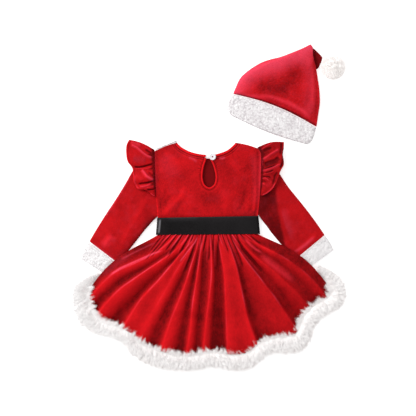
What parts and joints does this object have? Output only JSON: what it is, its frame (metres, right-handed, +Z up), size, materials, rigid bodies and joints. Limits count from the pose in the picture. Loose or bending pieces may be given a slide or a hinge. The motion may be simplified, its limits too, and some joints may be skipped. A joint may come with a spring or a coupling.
{
  "type": "baby's velvet romper and pointed hat, laid flat with the back up",
  "caption": "Long-sleeved romper with frilled shoulders, keyhole back, satin waist band and fur-hemmed skirt, laid flat beside a pointed bobble hat.",
  "frame": {"origin": "middle of the footprint of the romper and hat together, on the surface they lie on", "axes": "+Z up off the surface, +Y from the hem towards the neck and the hat, +X to the right as seen from above"},
  "size_m": [0.601, 0.717, 0.0525],
  "materials": {
    "velvet": "bright red short-pile velvet, soft sheen along the folds",
    "satin": "black satin ribbon",
    "fleece": "white curly fleece, 4 mm with its pile",
    "fur": "white long-pile faux fur",
    "button": "white four-hole button",
    "thread": "white cord loop"
  },
  "bodies": {
    "root": {"bodice_back": "velvet", "bodice_front": "velvet", "neck_binding_left": "velvet", "neck_binding_right": "velvet", "neck_binding_front": "velvet", "keyhole_binding": "velvet", "button": "button", "button_loop": "thread", "collar_front": "fleece", "sleeve_left": "velvet", "sleeve_right": "velvet", "cuff_left": "fleece", "cuff_right": "fleece", "frill_left": "velvet", "frill_right": "velvet", "frill_left_front": "velvet", "frill_right_front": "velvet", "waist_band": "satin", "skirt_back": "velvet", "skirt_front": "velvet", "brief_front": "velvet", "brief_back": "velvet", "fur_hem_back": "fur", "fur_hem_front": "fur", "hat_crown_top": "velvet", "hat_crown_under": "velvet", "hat_tip": "velvet", "hat_band": "fleece", "hat_bobble": "fur"}
  },
  "joints": []
}
